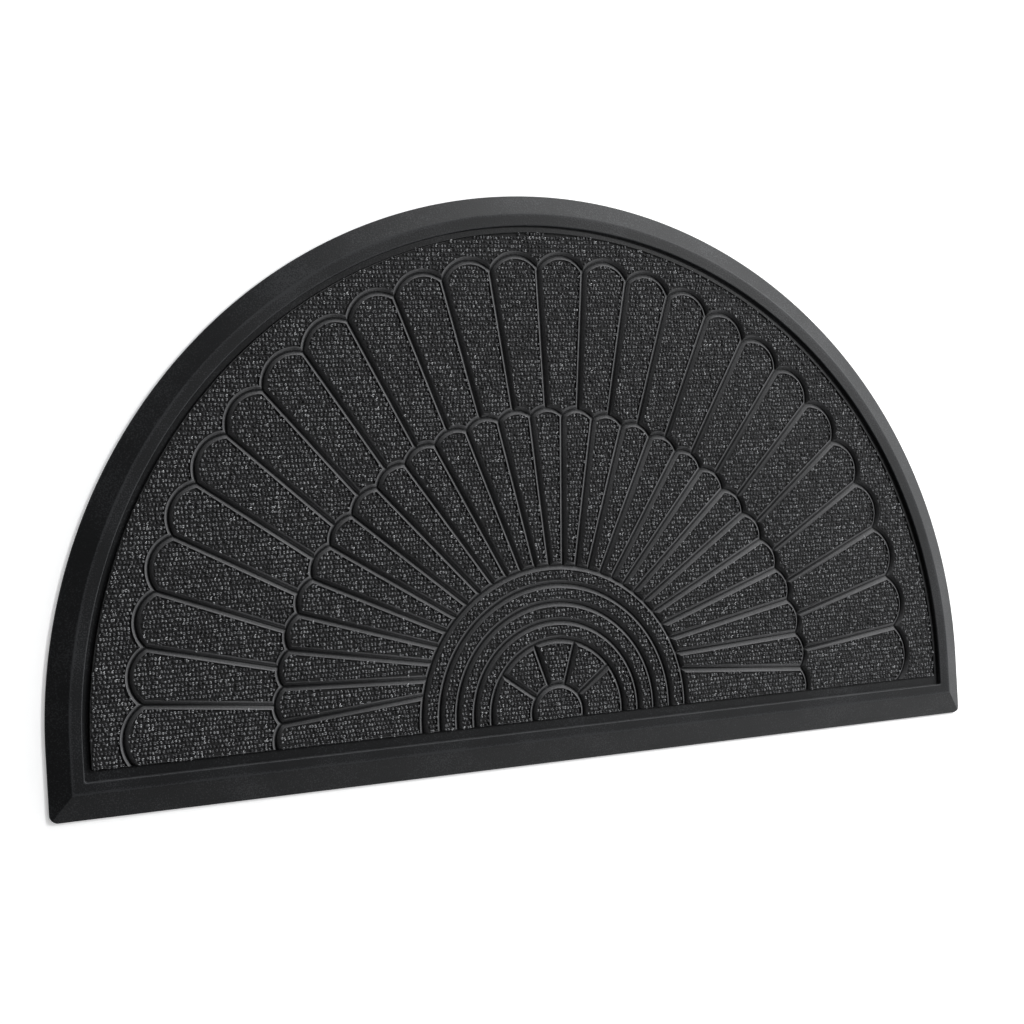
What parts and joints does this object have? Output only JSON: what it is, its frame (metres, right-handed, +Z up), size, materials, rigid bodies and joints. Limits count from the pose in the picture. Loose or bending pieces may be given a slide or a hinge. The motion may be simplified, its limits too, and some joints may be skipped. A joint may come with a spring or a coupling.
{
  "type": "doormat",
  "caption": "Half-round entrance mat that lies flat: a moulded rubber base with a bevelled border and a ribbed carpet face pressed in a shell fan pattern.",
  "frame": {"origin": "on the floor, under the middle of the mat's bounding box", "axes": "+X along the straight edge to the right, +Y from the straight edge to the crown of the arc, +Z up out of the carpet face"},
  "size_m": [0.762, 0.429, 0.0095],
  "materials": {
    "black_rubber": "matt, with a fine moulded grain",
    "charcoal_carpet": "ribbed loop pile in a dark heather of polypropylene fibre"
  },
  "bodies": {
    "root": {"rubber_base": "black_rubber", "carpet_face": "charcoal_carpet"}
  },
  "joints": []
}
